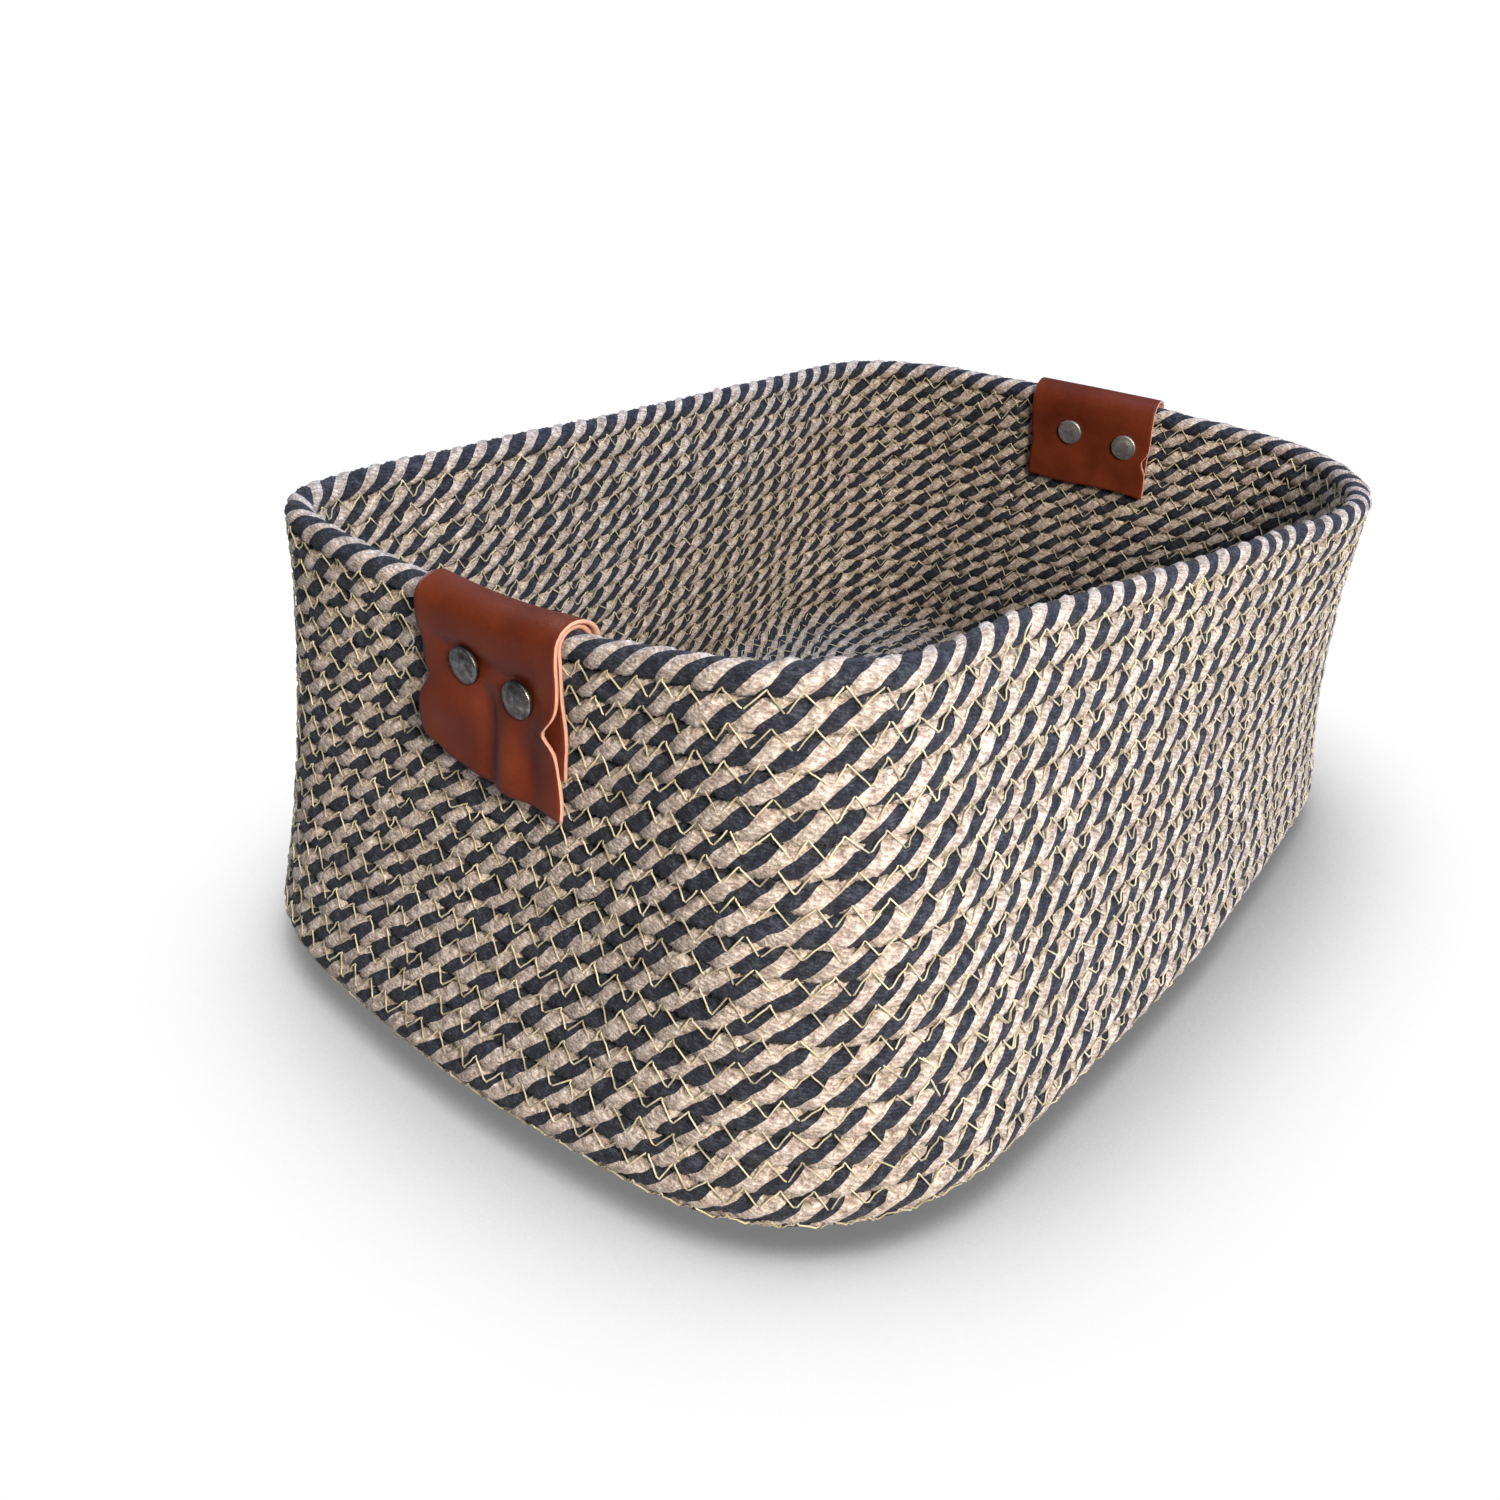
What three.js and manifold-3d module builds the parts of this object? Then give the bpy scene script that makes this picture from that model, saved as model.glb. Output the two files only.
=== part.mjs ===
// A soft storage basket of coiled rope, with a riveted leather grip folded over
// the rim at each end. Millimetres, +Z up, +X along the basket, standing on Z = 0.
import * as THREE from "three";
import { mergeVertices } from "three/addons/utils/BufferGeometryUtils.js";
import Module from "manifold-3d";

// ---- Rope body: driving dimensions ----
const ROPE_D = 9; // thickness of the rope, and of every wall made of it
const COURSE_PITCH = 8.5; // from one course of rope to the next, pressed together
const WALL_COURSES = 17; // courses between the base coil and the rim course
const EDGE_R = 12; // turn from the base up into the wall, at the rope's centre

// Half sizes and corner radii of the rope's centre line, at the rim and at the top
// of the base edge. The basket is a little wider at the floor than at the rim. The
// corners go round from the one between +X and +Y.
const RIM = { length: 188, width: 126, corners: [48, 34, 48, 75] };
const FOOT = { length: 198, width: 148, corners: [68, 68, 68, 68] };

// The rope body is soft, so it isn't quite even. Each list goes round the plan
// from +X by way of +Y: end, corner, side, corner, end, corner, side, corner.
const RIM_RISE = [-2, 1, 6, 12, 2, 12, 1, -8]; // rim above its nominal height
const RIM_PUSH = [7, 0, -5, -12, -13, -17, 4, 24]; // rim outwards
const WALL_PUSH = [6, 1, -1, -3, -12, 2, -1, -5]; // middle of the wall outwards
const FOOT_PUSH = [-1, 0, 0, 2, 12, 2, 8, -2]; // foot of the wall outwards

// ---- Leather grips: driving dimensions ----
const STRAP_WIDTH = 60;
const STRAP_T = 1.3; // leather thickness, of the strap and of its lining
const STRAP_OUTSIDE = 49; // below the rim course's centre, on the outside
const STRAP_INSIDE = 39; // and on the inside
const LINING_SHORTER = 11; // at each end of the strap
const LINING_NARROWER = 1; // at each side of the strap

// ---- Rivets: driving dimensions ----
const RIVET_SPACING = 25;
const RIVET_DEPTH = 14; // below the rim course's centre
// The rivets were set by hand: how far each is round the rim and down from its place.
const RIVET_OFFSETS = {
  right_grip: [{ round: -4.6, down: 1 }, { round: -2.6, down: -1.5 }],
  left_grip: [{ round: 3.3, down: -1.6 }, { round: 0.4, down: 2.9 }],
};
const RIVET_CAP_D = 12;
const RIVET_CAP_H = 1.8;
const RIVET_EDGE_H = 0.6; // the straight edge under the cap's dome
const RIVET_POST_D = 3;
const RIVET_TUBE_D = 5; // the back half's tube, which the post is pressed into
const RIVET_OVERLAP = 7; // how far the post goes into the tube

// ---- Gaps between neighbours ----
const GAP = 0.3; // between faces that touch
const ROPE_GAP = 0.6; // between the leather and the uneven rope under it
const CAP_GAP = 0.6; // between a rivet's flat cap and the curved leather under it
const HOLE_CLEARANCE = 0.3; // round a rivet's tube, on the radius
const POST_CLEARANCE = 0.15; // round a rivet's post in its tube, on the radius

// ---- Mesh fineness ----
const STEPS_PER_OCTANT = 8;
const STATIONS = 8 * STEPS_PER_OCTANT;
const EDGE_STEPS = 4;
const WALL_STEPS = 9;
const RIM_SIDES = 10;
const STRAP_STEPS = 8;
const FLAP_STEPS = 3;
const FOLD_STEPS = 6;
const RIVET_SIDES = 12;
const DOME_STEPS = 3;

const ROPE_R = ROPE_D / 2;
const EDGE_LENGTH = (EDGE_R * Math.PI) / 2;
const RIM_AT = COURSE_PITCH * (WALL_COURSES + 1); // along the profile, from the base coil
const EDGE_TOP_Z = ROPE_R + EDGE_R;
const WALL_HEIGHT = RIM_AT - EDGE_LENGTH;

// The grip's faces lie this far from the wall's centre, and a rivet's cap beyond them.
const GRIP_FACE = ROPE_R + ROPE_GAP + STRAP_T + GAP + STRAP_T;
const CAP_UNDERSIDE = GRIP_FACE + CAP_GAP;

const wasm = await Module();
wasm.setup();

// ---- Shape of the rope body ----

// A value given at the eight places round the plan, with a smooth closed curve
// through them (a Catmull-Rom spline).
function around(values, station) {
  const from = Math.floor(station);
  const t = station - from;
  const [a, b, c, d] = [-1, 0, 1, 2].map((k) => values[(from + k + 8) % 8]);
  const bend = 2 * a - 5 * b + 4 * c - d + t * (3 * (b - c) + d - a);
  return b + (t / 2) * (c - a + t * bend);
}

// Point and outward normal on a rounded rectangle. Stations 0, 2, 4 and 6 are the
// middles of its sides, from +X by way of +Y, and the odd ones are its corners.
function planPoint({ length, width, corners }, station) {
  const side = 2 * Math.round(station / 2);
  const turn = station - side; // from -1 to 1 about the middle of the side
  const [reach, half] = side % 4 === 0 ? [length, width] : [width, length];
  const corner = corners[Math.floor(station / 2) % 4];
  const r = Math.min(corner, 0.95 * Math.min(length, width));
  const travel = Math.abs(turn) * (half - r + (Math.PI * r) / 4);
  const straight = Math.min(travel, half - r);
  const angle = (travel - straight) / r;
  const outward = reach - r + r * Math.cos(angle);
  const along = Math.sign(turn) * (straight + r * Math.sin(angle));
  const heading = (side * Math.PI) / 4;
  const tilt = heading + Math.sign(turn) * angle;
  return {
    point: new THREE.Vector2(outward, along).rotateAround(new THREE.Vector2(), heading),
    normal: new THREE.Vector2(Math.cos(tilt), Math.sin(tilt)),
  };
}

function footPoint(station) {
  const { point, normal } = planPoint(FOOT, station);
  return { point: point.addScaledVector(normal, around(FOOT_PUSH, station)), normal };
}

// Centre of the rope wall at a station, `along` millimetres up the profile from
// the outermost course of the base coil: round the base edge, then up the wall.
function wallCentre(station, along) {
  const foot = footPoint(station);
  if (along < EDGE_LENGTH) {
    const angle = along / EDGE_R;
    const inset = EDGE_R * (1 - Math.sin(angle));
    const point = foot.point.clone().addScaledVector(foot.normal, -inset);
    return new THREE.Vector3(point.x, point.y, EDGE_TOP_Z - EDGE_R * Math.cos(angle));
  }
  const rim = planPoint(RIM, station);
  const v = (along - EDGE_LENGTH) / WALL_HEIGHT;
  const normal = foot.normal.clone().lerp(rim.normal, v).normalize();
  const push = around(RIM_PUSH, station) * v + around(WALL_PUSH, station) * 4 * v * (1 - v);
  const point = foot.point.clone().lerp(rim.point, v).addScaledVector(normal, push);
  const height = (WALL_HEIGHT + around(RIM_RISE, station)) * v;
  return new THREE.Vector3(point.x, point.y, EDGE_TOP_Z + height);
}

// The wall's centre with its unit directions: round the basket, up the profile
// and out of the wall.
function wallFrame(station, along) {
  const wrap = (s) => (s + 8) % 8;
  const centre = wallCentre(wrap(station), along);
  const round = wallCentre(wrap(station + 0.01), along)
    .sub(wallCentre(wrap(station - 0.01), along))
    .normalize();
  const up = wallCentre(wrap(station), along + 0.1)
    .sub(wallCentre(wrap(station), along - 0.1))
    .normalize();
  const out = round.clone().cross(up).normalize();
  return { centre, round, up, out };
}

// The station that lies `distance` millimetres round the rim from another one.
function stationAt(start, distance) {
  const step = 0.002;
  const heading = Math.sign(distance);
  const wrap = (s) => (s + 8) % 8;
  let station = start;
  let here = wallCentre(wrap(station), RIM_AT);
  let left = Math.abs(distance);
  while (left > 0) {
    const there = wallCentre(wrap(station + heading * step), RIM_AT);
    const length = here.distanceTo(there);
    station += heading * step * Math.min(1, left / length);
    left -= length;
    here = there;
  }
  return wrap(station);
}

// ---- Mesh builders ----

// A closed surface from a grid of points: rows joined in order, each row a closed
// loop. With `ring` the last row joins the first; otherwise both ends get a cap.
function loftGeometry(rows, ring) {
  const across = rows[0].length;
  const positions = rows.flat().flatMap((p) => [p.x, p.y, p.z]);
  const index = [];
  const last = ring ? rows.length : rows.length - 1;
  for (let i = 0; i < last; i += 1) {
    const next = (i + 1) % rows.length;
    for (let j = 0; j < across; j += 1) {
      const k = (j + 1) % across;
      const [a, b, c, d] = [i * across + j, next * across + j, next * across + k, i * across + k];
      index.push(a, b, c, a, c, d);
    }
  }
  if (!ring) {
    index.push(...stripCap(across, 0, false));
    index.push(...stripCap(across, (rows.length - 1) * across, true));
  }
  const geometry = new THREE.BufferGeometry();
  geometry.setAttribute("position", new THREE.Float32BufferAttribute(positions, 3));
  geometry.setIndex(index);
  return geometry;
}

// A cap over a loop whose first half runs along one face of a strip and whose
// second half comes back along the other, so the two halves are joined as a ladder.
function stripCap(across, start, flipped) {
  const index = [];
  for (let j = 0; j < across / 2 - 1; j += 1) {
    const [a, b] = [start + j, start + j + 1];
    const [c, d] = [start + across - 2 - j, start + across - 1 - j];
    const faces = flipped ? [a, c, b, a, d, c] : [a, b, c, a, c, d];
    index.push(...faces);
  }
  return index;
}

function solidOf(geometry) {
  const bare = geometry.clone();
  bare.deleteAttribute("normal");
  bare.deleteAttribute("uv");
  const merged = mergeVertices(bare, 1e-4);
  const mesh = new wasm.Mesh({
    numProp: 3,
    vertProperties: new Float32Array(merged.attributes.position.array),
    triVerts: new Uint32Array(merged.index.array),
  });
  return new wasm.Manifold(mesh);
}

function geometryOf(solid) {
  const mesh = solid.getMesh();
  const geometry = new THREE.BufferGeometry();
  geometry.setAttribute("position", new THREE.BufferAttribute(mesh.vertProperties, 3));
  geometry.setIndex(new THREE.BufferAttribute(mesh.triVerts, 1));
  return geometry;
}

// A LatheGeometry turned about Z, from [radius, height] pairs that go up the
// outside and end on the axis.
function turned(profile) {
  const points = profile.map(([r, h]) => new THREE.Vector2(r, h));
  return new THREE.LatheGeometry(points, RIVET_SIDES).rotateX(Math.PI / 2);
}

function drilled(geometry, holes) {
  let solid = solidOf(geometry);
  for (const hole of holes) {
    solid = solid.subtract(hole);
  }
  return geometryOf(solid);
}

// ---- Materials ----

const ropeMaterial = () =>
  new THREE.MeshStandardMaterial({ color: 0x9a8c7c, roughness: 0.95, metalness: 0 });
const leatherMaterial = () =>
  new THREE.MeshStandardMaterial({ color: 0x8a3a22, roughness: 0.45, metalness: 0 });
const liningMaterial = () =>
  new THREE.MeshStandardMaterial({ color: 0x7a3526, roughness: 0.6, metalness: 0 });
const nickelMaterial = () =>
  new THREE.MeshStandardMaterial({ color: 0x77736c, roughness: 0.3, metalness: 1 });

// ---- Rope body ----

const stations = [...Array(STATIONS).keys()].map((i) => i / STEPS_PER_OCTANT);

function baseCoil() {
  const outline = stations.map((station) => {
    const { point, normal } = footPoint(station);
    return point.addScaledVector(normal, -(EDGE_R + GAP / 2));
  });
  const shape = new THREE.Shape(outline);
  return new THREE.ExtrudeGeometry(shape, { depth: ROPE_D, bevelEnabled: false });
}

// Heights along the profile at which the wall's section has a point.
function wallLevels() {
  const top = RIM_AT - ROPE_R - GAP;
  const levels = [GAP / 2];
  for (let i = 1; i <= EDGE_STEPS; i += 1) {
    levels.push((EDGE_LENGTH * i) / EDGE_STEPS);
  }
  for (let i = 1; i <= WALL_STEPS; i += 1) {
    levels.push(EDGE_LENGTH + ((top - EDGE_LENGTH) * i) / WALL_STEPS);
  }
  return levels;
}

function wallCoil(holes) {
  const levels = wallLevels();
  const rows = stations.map((station) => {
    const frames = levels.map((along) => wallFrame(station, along));
    const outside = frames.map((f) => f.centre.clone().addScaledVector(f.out, ROPE_R));
    const inside = frames.map((f) => f.centre.clone().addScaledVector(f.out, -ROPE_R));
    return [...outside, ...inside.reverse()];
  });
  return drilled(loftGeometry(rows, true), holes);
}

function rimCoil() {
  const rows = stations.map((station) => {
    const { centre, up, out } = wallFrame(station, RIM_AT);
    return [...Array(RIM_SIDES).keys()].map((j) => {
      const angle = (2 * Math.PI * j) / RIM_SIDES;
      return centre
        .clone()
        .addScaledVector(out, ROPE_R * Math.cos(angle))
        .addScaledVector(up, ROPE_R * Math.sin(angle));
    });
  });
  return loftGeometry(rows, true);
}

// ---- Leather grips ----

// One leather layer folded over the rim at a station: up the outside, over the
// rim course and down the inside, `lift` millimetres off the rope.
function leatherLayer(middle, lift, width, outside, inside, holes) {
  const path = [];
  for (let i = 0; i < FLAP_STEPS; i += 1) {
    path.push({ down: outside * (1 - i / FLAP_STEPS), angle: 0 });
  }
  for (let i = 0; i <= FOLD_STEPS; i += 1) {
    path.push({ down: 0, angle: (Math.PI * i) / FOLD_STEPS });
  }
  for (let i = 1; i <= FLAP_STEPS; i += 1) {
    path.push({ down: (inside * i) / FLAP_STEPS, angle: Math.PI });
  }
  const rows = [];
  for (let i = 0; i <= STRAP_STEPS; i += 1) {
    const station = stationAt(middle, (i / STRAP_STEPS - 0.5) * width);
    const along = (radius) =>
      path.map(({ down, angle }) => {
        const { centre, up, out } = wallFrame(station, RIM_AT - down);
        return centre
          .addScaledVector(out, radius * Math.cos(angle))
          .addScaledVector(up, radius * Math.sin(angle));
      });
    const near = along(ROPE_R + lift);
    const far = along(ROPE_R + lift + STRAP_T);
    rows.push([...far, ...near.reverse()]);
  }
  return drilled(loftGeometry(rows, false), holes);
}

// ---- Rivets ----

// Points out of the wall at one rivet: +Z of the returned matrix is the rivet's axis.
function rivetPlace(middle, distance, depth) {
  const { centre, up, out } = wallFrame(stationAt(middle, distance), RIM_AT - depth);
  const side = up.clone().cross(out);
  return new THREE.Matrix4().makeBasis(side, up, out).setPosition(centre);
}

// The outside of a rivet's cap, a low dome on a short straight edge, as [radius,
// height above the wall's centre] pairs from its underside to its top.
function capProfile() {
  const dome = RIVET_CAP_H - RIVET_EDGE_H;
  const profile = [[RIVET_CAP_D / 2, CAP_UNDERSIDE]];
  for (let i = 0; i < DOME_STEPS; i += 1) {
    const angle = (Math.PI / 2) * (i / DOME_STEPS);
    const height = CAP_UNDERSIDE + RIVET_EDGE_H + dome * Math.sin(angle);
    profile.push([(RIVET_CAP_D / 2) * Math.cos(angle), height]);
  }
  profile.push([0, CAP_UNDERSIDE + RIVET_CAP_H]);
  return profile;
}

// The outer half: a cap with a solid post, which goes in past the wall's centre.
function rivetPost() {
  const tip = -RIVET_OVERLAP;
  const post = [[0, tip], [RIVET_POST_D / 2, tip], [RIVET_POST_D / 2, CAP_UNDERSIDE]];
  return turned([...post, ...capProfile()]);
}

// The inner half: a cap with a tube that reaches the wall's centre and takes the post.
function rivetSocket() {
  const bore = RIVET_POST_D / 2 + POST_CLEARANCE;
  const inside = [[0, CAP_UNDERSIDE], [bore, CAP_UNDERSIDE], [bore, 0]];
  const outside = [[RIVET_TUBE_D / 2, 0], [RIVET_TUBE_D / 2, CAP_UNDERSIDE]];
  return turned([...inside, ...outside, ...capProfile()]).rotateX(Math.PI);
}

// The hole that a rivet goes through, longer than the grip and the wall are thick.
function rivetHole(place) {
  const radius = RIVET_TUBE_D / 2 + HOLE_CLEARANCE;
  const length = 4 * GRIP_FACE;
  const hole = new THREE.CylinderGeometry(radius, radius, length, RIVET_SIDES);
  hole.rotateX(Math.PI / 2).applyMatrix4(place);
  return solidOf(hole);
}

// ---- Assembly ----

const bin = new THREE.Group();

function add(name, geometry, material, parent = bin) {
  const mesh = new THREE.Mesh(geometry, material);
  mesh.name = name;
  parent.add(mesh);
  return mesh;
}

const GRIPS = [
  { name: "right_grip", middle: 0 },
  { name: "left_grip", middle: 4 },
];
const placesOf = ({ name, middle }) =>
  RIVET_OFFSETS[name].map(({ round, down }, i) =>
    rivetPlace(middle, (i - 0.5) * RIVET_SPACING + round, RIVET_DEPTH + down),
  );
const holesOf = (grip) => placesOf(grip).map(rivetHole);

add("base_coil", baseCoil(), ropeMaterial());
add("wall_coil", wallCoil(GRIPS.flatMap(holesOf)), ropeMaterial());
add("rim_coil", rimCoil(), ropeMaterial());

for (const grip of GRIPS) {
  const { name, middle } = grip;
  const holes = holesOf(grip);
  const liningWidth = STRAP_WIDTH - 2 * LINING_NARROWER;
  const liningOutside = STRAP_OUTSIDE - LINING_SHORTER;
  const liningInside = STRAP_INSIDE - LINING_SHORTER;
  const lining = leatherLayer(middle, ROPE_GAP, liningWidth, liningOutside, liningInside, holes);
  const strapLift = ROPE_GAP + STRAP_T + GAP;
  const strap = leatherLayer(middle, strapLift, STRAP_WIDTH, STRAP_OUTSIDE, STRAP_INSIDE, holes);
  add(`${name}_lining`, lining, liningMaterial());
  add(`${name}_strap`, strap, leatherMaterial());
  placesOf(grip).forEach((place, i) => {
    const rivet = new THREE.Group();
    rivet.applyMatrix4(place);
    bin.add(rivet);
    add(`${name}_rivet_${i + 1}_post`, rivetPost(), nickelMaterial(), rivet);
    add(`${name}_rivet_${i + 1}_socket`, rivetSocket(), nickelMaterial(), rivet);
  });
}

// The origin is under the middle of the whole basket.
const bounds = new THREE.Box3().setFromObject(bin, true);
const middle = bounds.getCenter(new THREE.Vector3());
bin.position.set(-middle.x, -middle.y, -bounds.min.z);

export default bin;
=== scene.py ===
"""A coiled rope basket with riveted leather grips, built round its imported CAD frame."""

import math

import bpy
import numpy as np
from mathutils import Matrix, Vector
from mathutils.bvhtree import BVHTree


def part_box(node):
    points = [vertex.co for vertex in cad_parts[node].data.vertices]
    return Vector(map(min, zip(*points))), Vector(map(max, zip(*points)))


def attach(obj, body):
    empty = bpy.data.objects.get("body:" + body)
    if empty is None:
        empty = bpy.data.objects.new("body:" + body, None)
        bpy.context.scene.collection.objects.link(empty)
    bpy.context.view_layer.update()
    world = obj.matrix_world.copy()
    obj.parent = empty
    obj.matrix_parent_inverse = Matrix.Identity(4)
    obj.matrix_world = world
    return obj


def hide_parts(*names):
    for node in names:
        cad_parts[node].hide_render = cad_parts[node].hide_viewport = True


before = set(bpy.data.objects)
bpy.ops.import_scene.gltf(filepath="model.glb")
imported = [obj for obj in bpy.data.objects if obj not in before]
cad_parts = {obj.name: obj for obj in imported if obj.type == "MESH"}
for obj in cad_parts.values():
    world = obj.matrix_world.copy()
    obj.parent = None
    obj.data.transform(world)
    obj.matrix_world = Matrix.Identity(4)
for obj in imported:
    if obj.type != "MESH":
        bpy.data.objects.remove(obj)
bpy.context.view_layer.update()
MM = 0.001
TURN = 2 * math.pi
BAKE_MAP = "OFBake"
STRAND_MAP = "Strand"

# ---- Rope body, as in the CAD frame ----
ROPE_R = 4.5 * MM
PITCH = 8.5 * MM  # from one course of rope to the next
EDGE_R = 12 * MM  # turn from the base up into the wall, at the rope's centre
EDGE_LENGTH = EDGE_R * math.pi / 2
WALL_COURSES = 17
RIM_AT = PITCH * (WALL_COURSES + 1)  # along the profile, from the base coil
WALL_HEIGHT = RIM_AT - EDGE_LENGTH
EDGE_TOP_Z = ROPE_R + EDGE_R
BASE_COURSES = 16
BASE_CORE = 50 * MM  # half the straight line that the base's courses close in on
OUTER_COURSES = 6  # of the base, in its outer piece

# ---- Rope: four strands, dark and tan by turns ----
STRIPE = 12.9 * MM  # from one dark stripe to the next, along the rope
STEPS_PER_STRIPE = 10
DARK_COLUMNS = [(0, 0.92), (32, 0.98), (64, 0.98)]  # degrees round, share of the radius
TAN_COLUMNS = [(97, 0.92), (118, 1.02), (139, 1.06), (160, 1.02)]
OVERLAP = 1.12  # how far a course presses into the next
SQUARENESS = 2.9  # of a course's section, where 2 is round
FACE_SPREAD = 0.2  # how much more of the twist shows on a pressed course's two faces
RIM_SQUARENESS = 2.1
PINCH = 0.32  # radians by which the tan strands close over the dark ones at the joints
RAGGED = 0.13  # radians, of the edge between two strands
WOBBLE = 0.2 * MM
LUMPY = 0.035  # of the radius
ROPE_OFF_FLOOR = 0.1 * MM

# ---- Sewing ----
ZIGZAG = 9.6 * MM  # from one peak to the next
ZIGZAG_HALF = 2.7 * MM  # half the zigzag's width
THREAD_R = 0.26 * MM
THREAD_OFF_FLOOR = 0.05 * MM
# Joints sewn a second time: a joint's number up the wall, and its ends in radians round it.
SEWN_TWICE = {
    "outside": [(17, (4.55, 4.88)), (16, (4.66, 4.80)), (6, (3.86, 4.08)), (5, (3.92, 4.12))],
    "inside": [(14, (0.45, 0.80)), (13, (0.52, 0.66))],
}
# Threads that stand loose on the outside, through spots: radians round, metres up the wall
# from the top of the base's turn, and metres off the rope.
LOOSE_THREADS = [
    [(4.02, 0.126, 0.0), (4.035, 0.131, 0.001), (4.03, 0.135, 0.0025), (4.05, 0.138, 0.003)],
    [(2.862, 0.123, 0.0), (2.89, 0.126, 0.0015), (2.917, 0.119, 0.001), (2.88, 0.112, 0.0)],
]

rng = np.random.default_rng(11)


# ---- Small helpers ----


def unit(v):
    return v / np.linalg.norm(v, axis=-1, keepdims=True)


def mix(a, b, t):
    return a * (1 - t) + b * t


def bump(x, middle, width):
    """A smooth bump of height 1 about the middle."""
    return np.exp(-(((x - middle) / width) ** 2))


def smooth_step(x, low, high):
    t = np.clip((x - low) / (high - low), 0, 1)
    return t * t * (3 - 2 * t)


def wander(length, knot, size):
    """A smooth random function of the distance round a closed curve."""
    count = max(4, round(length / knot))
    values = rng.normal(0, size, count)
    closed = np.append(values, values[0])

    def value(s):
        x = (s % length) / length * count
        i = np.floor(x).astype(int) % count
        t = smooth_step(x - np.floor(x), 0, 1)
        return closed[i] * (1 - t) + closed[i + 1] * t

    return value


def mesh_object(name, verts, quads, materials, face_slots=None, maps=None):
    """A smooth mesh of quads, with its materials and UV maps."""
    me = bpy.data.meshes.new(name)
    verts = np.asarray(verts, np.float32)
    quads = np.asarray(quads, np.int32)
    me.vertices.add(len(verts))
    me.vertices.foreach_set("co", verts.ravel())
    me.loops.add(quads.size)
    me.loops.foreach_set("vertex_index", quads.ravel())
    me.polygons.add(len(quads))
    me.polygons.foreach_set("loop_start", np.arange(0, quads.size, 4, dtype=np.int32))
    me.update(calc_edges=True)
    me.validate()
    me.polygons.foreach_set("use_smooth", np.ones(len(quads), bool))
    for material in materials:
        me.materials.append(material)
    if face_slots is not None:
        me.polygons.foreach_set("material_index", np.asarray(face_slots, np.int32))
    for key, uv in (maps or {}).items():
        layer = me.uv_layers.new(name=key)
        layer.uv.foreach_set("vector", np.asarray(uv, np.float32).ravel())
    ob = bpy.data.objects.new(name, me)
    bpy.context.scene.collection.objects.link(ob)
    return ob


# ---- Material helpers ----


def new_material(name):
    material = bpy.data.materials.new(name)
    material.use_nodes = True
    tree = material.node_tree
    return material, tree, tree.nodes["Principled BSDF"]


def put(tree, kind, settings=None, **inputs):
    """A node with its settings and its inputs, each a value or another node's output."""
    node = tree.nodes.new("ShaderNode" + kind)
    for key, value in (settings or {}).items():
        setattr(node, key, value)
    for key, value in inputs.items():
        socket = node.inputs[int(key[1:])] if key[0] == "_" and key[1:].isdigit() else None
        socket = socket or node.inputs[key.replace("_", " ")]
        if isinstance(value, bpy.types.NodeSocket):
            tree.links.new(value, socket)
        else:
            socket.default_value = value
    return node


def maths(tree, operation, a, b=0.0):
    return put(tree, "Math", {"operation": operation}, _0=a, _1=b).outputs[0]


def noise(tree, vector, scale, detail=3.0, roughness=0.5):
    made = put(tree, "TexNoise", Vector=vector, Scale=scale, Detail=detail, Roughness=roughness)
    return made.outputs["Fac"]


def ramp(tree, value, stops):
    node = put(tree, "ValToRGB", Fac=value)
    points = node.color_ramp.elements
    while len(points) < len(stops):
        points.new(0.5)
    for point, (position, colour) in zip(points, stops):
        point.position = position
        point.color = (*colour, 1)
    return node.outputs["Color"]


def colour_mix(tree, factor, a, b, blend="MIX"):
    node = put(tree, "Mix", {"data_type": "RGBA", "blend_type": blend})
    for socket, value in ((node.inputs[0], factor), (node.inputs[6], a), (node.inputs[7], b)):
        if isinstance(value, bpy.types.NodeSocket):
            tree.links.new(value, socket)
        else:
            socket.default_value = value if isinstance(value, float) else (*value, 1)
    return node.outputs[2]


def set_bump(tree, shader, height, strength, distance):
    node = put(tree, "Bump", Strength=strength, Distance=distance, Height=height)
    tree.links.new(node.outputs[0], shader.inputs["Normal"])


# ---- Materials ----

YARN_LEAN = 0.3  # turns that a yarn leans back on its strand, for each turn of the strand


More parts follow.
